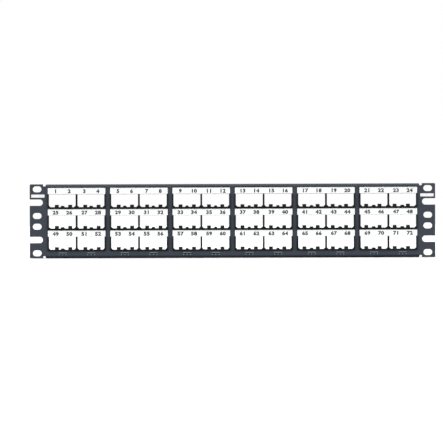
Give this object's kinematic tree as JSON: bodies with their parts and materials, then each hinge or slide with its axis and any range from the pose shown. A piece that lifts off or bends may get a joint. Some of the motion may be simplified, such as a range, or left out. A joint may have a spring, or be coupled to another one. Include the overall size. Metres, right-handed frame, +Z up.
{
  "type": "patch panel",
  "caption": "Two-unit 19-inch rack patch panel: folded steel frame with snap-in faceplates, numbered label cards under clear covers, empty jack openings and slotted ears.",
  "frame": {"origin": "middle of the rack hole pattern, on the rear faces of the two mounting ears", "axes": "+X to the right seen from the front, -Y towards the front, +Z up"},
  "size_m": [0.4826, 0.028, 0.0882],
  "materials": {
    "panel_steel": "fine textured blue-black powder coat on folded steel",
    "faceplate_plastic": "lightly spark-textured black moulded plastic",
    "label_card": "smooth white label card with printed port numbers",
    "clear_cover": "clear polished polycarbonate",
    "write_on_film": "matt white write-on film"
  },
  "bodies": {
    "panel": {"panel_frame": "panel_steel", "write_on_strip_left": "write_on_film", "write_on_strip_right": "write_on_film"},
    "faceplate_r1c1": {"faceplate_r1c1": "faceplate_plastic", "label_card_r1c1": "label_card"},
    "label_cover_r1c1": {"label_cover_r1c1": "clear_cover"},
    "faceplate_r1c2": {"faceplate_r1c2": "faceplate_plastic", "label_card_r1c2": "label_card"},
    "label_cover_r1c2": {"label_cover_r1c2": "clear_cover"},
    "faceplate_r1c3": {"faceplate_r1c3": "faceplate_plastic", "label_card_r1c3": "label_card"},
    "label_cover_r1c3": {"label_cover_r1c3": "clear_cover"},
    "faceplate_r1c4": {"faceplate_r1c4": "faceplate_plastic", "label_card_r1c4": "label_card"},
    "label_cover_r1c4": {"label_cover_r1c4": "clear_cover"},
    "faceplate_r1c5": {"faceplate_r1c5": "faceplate_plastic", "label_card_r1c5": "label_card"},
    "label_cover_r1c5": {"label_cover_r1c5": "clear_cover"},
    "faceplate_r1c6": {"faceplate_r1c6": "faceplate_plastic", "label_card_r1c6": "label_card"},
    "label_cover_r1c6": {"label_cover_r1c6": "clear_cover"},
    "faceplate_r2c1": {"faceplate_r2c1": "faceplate_plastic", "label_card_r2c1": "label_card"},
    "label_cover_r2c1": {"label_cover_r2c1": "clear_cover"},
    "faceplate_r2c2": {"faceplate_r2c2": "faceplate_plastic", "label_card_r2c2": "label_card"},
    "label_cover_r2c2": {"label_cover_r2c2": "clear_cover"},
    "faceplate_r2c3": {"faceplate_r2c3": "faceplate_plastic", "label_card_r2c3": "label_card"},
    "label_cover_r2c3": {"label_cover_r2c3": "clear_cover"},
    "faceplate_r2c4": {"faceplate_r2c4": "faceplate_plastic", "label_card_r2c4": "label_card"},
    "label_cover_r2c4": {"label_cover_r2c4": "clear_cover"},
    "faceplate_r2c5": {"faceplate_r2c5": "faceplate_plastic", "label_card_r2c5": "label_card"},
    "label_cover_r2c5": {"label_cover_r2c5": "clear_cover"},
    "faceplate_r2c6": {"faceplate_r2c6": "faceplate_plastic", "label_card_r2c6": "label_card"},
    "label_cover_r2c6": {"label_cover_r2c6": "clear_cover"},
    "faceplate_r3c1": {"faceplate_r3c1": "faceplate_plastic", "label_card_r3c1": "label_card"},
    "label_cover_r3c1": {"label_cover_r3c1": "clear_cover"},
    "faceplate_r3c2": {"faceplate_r3c2": "faceplate_plastic", "label_card_r3c2": "label_card"},
    "label_cover_r3c2": {"label_cover_r3c2": "clear_cover"},
    "faceplate_r3c3": {"faceplate_r3c3": "faceplate_plastic", "label_card_r3c3": "label_card"},
    "label_cover_r3c3": {"label_cover_r3c3": "clear_cover"},
    "faceplate_r3c4": {"faceplate_r3c4": "faceplate_plastic", "label_card_r3c4": "label_card"},
    "label_cover_r3c4": {"label_cover_r3c4": "clear_cover"},
    "faceplate_r3c5": {"faceplate_r3c5": "faceplate_plastic", "label_card_r3c5": "label_card"},
    "label_cover_r3c5": {"label_cover_r3c5": "clear_cover"},
    "faceplate_r3c6": {"faceplate_r3c6": "faceplate_plastic", "label_card_r3c6": "label_card"},
    "label_cover_r3c6": {"label_cover_r3c6": "clear_cover"}
  },
  "joints": [
    {"name": "faceplate_r1c1_pull", "type": "slide", "parent": "panel", "child": "faceplate_r1c1", "axis": [0, -1, 0], "range_m": [0, 0.016]},
    {"name": "label_cover_r1c1_pull", "type": "slide", "parent": "faceplate_r1c1", "child": "label_cover_r1c1", "axis": [0, -1, 0], "range_m": [0, 0.008]},
    {"name": "faceplate_r1c2_pull", "type": "slide", "parent": "panel", "child": "faceplate_r1c2", "axis": [0, -1, 0], "range_m": [0, 0.016]},
    {"name": "label_cover_r1c2_pull", "type": "slide", "parent": "faceplate_r1c2", "child": "label_cover_r1c2", "axis": [0, -1, 0], "range_m": [0, 0.008]},
    {"name": "faceplate_r1c3_pull", "type": "slide", "parent": "panel", "child": "faceplate_r1c3", "axis": [0, -1, 0], "range_m": [0, 0.016]},
    {"name": "label_cover_r1c3_pull", "type": "slide", "parent": "faceplate_r1c3", "child": "label_cover_r1c3", "axis": [0, -1, 0], "range_m": [0, 0.008]},
    {"name": "faceplate_r1c4_pull", "type": "slide", "parent": "panel", "child": "faceplate_r1c4", "axis": [0, -1, 0], "range_m": [0, 0.016]},
    {"name": "label_cover_r1c4_pull", "type": "slide", "parent": "faceplate_r1c4", "child": "label_cover_r1c4", "axis": [0, -1, 0], "range_m": [0, 0.008]},
    {"name": "faceplate_r1c5_pull", "type": "slide", "parent": "panel", "child": "faceplate_r1c5", "axis": [0, -1, 0], "range_m": [0, 0.016]},
    {"name": "label_cover_r1c5_pull", "type": "slide", "parent": "faceplate_r1c5", "child": "label_cover_r1c5", "axis": [0, -1, 0], "range_m": [0, 0.008]},
    {"name": "faceplate_r1c6_pull", "type": "slide", "parent": "panel", "child": "faceplate_r1c6", "axis": [0, -1, 0], "range_m": [0, 0.016]},
    {"name": "label_cover_r1c6_pull", "type": "slide", "parent": "faceplate_r1c6", "child": "label_cover_r1c6", "axis": [0, -1, 0], "range_m": [0, 0.008]},
    {"name": "faceplate_r2c1_pull", "type": "slide", "parent": "panel", "child": "faceplate_r2c1", "axis": [0, -1, 0], "range_m": [0, 0.016]},
    {"name": "label_cover_r2c1_pull", "type": "slide", "parent": "faceplate_r2c1", "child": "label_cover_r2c1", "axis": [0, -1, 0], "range_m": [0, 0.008]},
    {"name": "faceplate_r2c2_pull", "type": "slide", "parent": "panel", "child": "faceplate_r2c2", "axis": [0, -1, 0], "range_m": [0, 0.016]},
    {"name": "label_cover_r2c2_pull", "type": "slide", "parent": "faceplate_r2c2", "child": "label_cover_r2c2", "axis": [0, -1, 0], "range_m": [0, 0.008]},
    {"name": "faceplate_r2c3_pull", "type": "slide", "parent": "panel", "child": "faceplate_r2c3", "axis": [0, -1, 0], "range_m": [0, 0.016]},
    {"name": "label_cover_r2c3_pull", "type": "slide", "parent": "faceplate_r2c3", "child": "label_cover_r2c3", "axis": [0, -1, 0], "range_m": [0, 0.008]},
    {"name": "faceplate_r2c4_pull", "type": "slide", "parent": "panel", "child": "faceplate_r2c4", "axis": [0, -1, 0], "range_m": [0, 0.016]},
    {"name": "label_cover_r2c4_pull", "type": "slide", "parent": "faceplate_r2c4", "child": "label_cover_r2c4", "axis": [0, -1, 0], "range_m": [0, 0.008]},
    {"name": "faceplate_r2c5_pull", "type": "slide", "parent": "panel", "child": "faceplate_r2c5", "axis": [0, -1, 0], "range_m": [0, 0.016]},
    {"name": "label_cover_r2c5_pull", "type": "slide", "parent": "faceplate_r2c5", "child": "label_cover_r2c5", "axis": [0, -1, 0], "range_m": [0, 0.008]},
    {"name": "faceplate_r2c6_pull", "type": "slide", "parent": "panel", "child": "faceplate_r2c6", "axis": [0, -1, 0], "range_m": [0, 0.016]},
    {"name": "label_cover_r2c6_pull", "type": "slide", "parent": "faceplate_r2c6", "child": "label_cover_r2c6", "axis": [0, -1, 0], "range_m": [0, 0.008]},
    {"name": "faceplate_r3c1_pull", "type": "slide", "parent": "panel", "child": "faceplate_r3c1", "axis": [0, -1, 0], "range_m": [0, 0.016]},
    {"name": "label_cover_r3c1_pull", "type": "slide", "parent": "faceplate_r3c1", "child": "label_cover_r3c1", "axis": [0, -1, 0], "range_m": [0, 0.008]},
    {"name": "faceplate_r3c2_pull", "type": "slide", "parent": "panel", "child": "faceplate_r3c2", "axis": [0, -1, 0], "range_m": [0, 0.016]},
    {"name": "label_cover_r3c2_pull", "type": "slide", "parent": "faceplate_r3c2", "child": "label_cover_r3c2", "axis": [0, -1, 0], "range_m": [0, 0.008]},
    {"name": "faceplate_r3c3_pull", "type": "slide", "parent": "panel", "child": "faceplate_r3c3", "axis": [0, -1, 0], "range_m": [0, 0.016]},
    {"name": "label_cover_r3c3_pull", "type": "slide", "parent": "faceplate_r3c3", "child": "label_cover_r3c3", "axis": [0, -1, 0], "range_m": [0, 0.008]},
    {"name": "faceplate_r3c4_pull", "type": "slide", "parent": "panel", "child": "faceplate_r3c4", "axis": [0, -1, 0], "range_m": [0, 0.016]},
    {"name": "label_cover_r3c4_pull", "type": "slide", "parent": "faceplate_r3c4", "child": "label_cover_r3c4", "axis": [0, -1, 0], "range_m": [0, 0.008]},
    {"name": "faceplate_r3c5_pull", "type": "slide", "parent": "panel", "child": "faceplate_r3c5", "axis": [0, -1, 0], "range_m": [0, 0.016]},
    {"name": "label_cover_r3c5_pull", "type": "slide", "parent": "faceplate_r3c5", "child": "label_cover_r3c5", "axis": [0, -1, 0], "range_m": [0, 0.008]},
    {"name": "faceplate_r3c6_pull", "type": "slide", "parent": "panel", "child": "faceplate_r3c6", "axis": [0, -1, 0], "range_m": [0, 0.016]},
    {"name": "label_cover_r3c6_pull", "type": "slide", "parent": "faceplate_r3c6", "child": "label_cover_r3c6", "axis": [0, -1, 0], "range_m": [0, 0.008]}
  ]
}
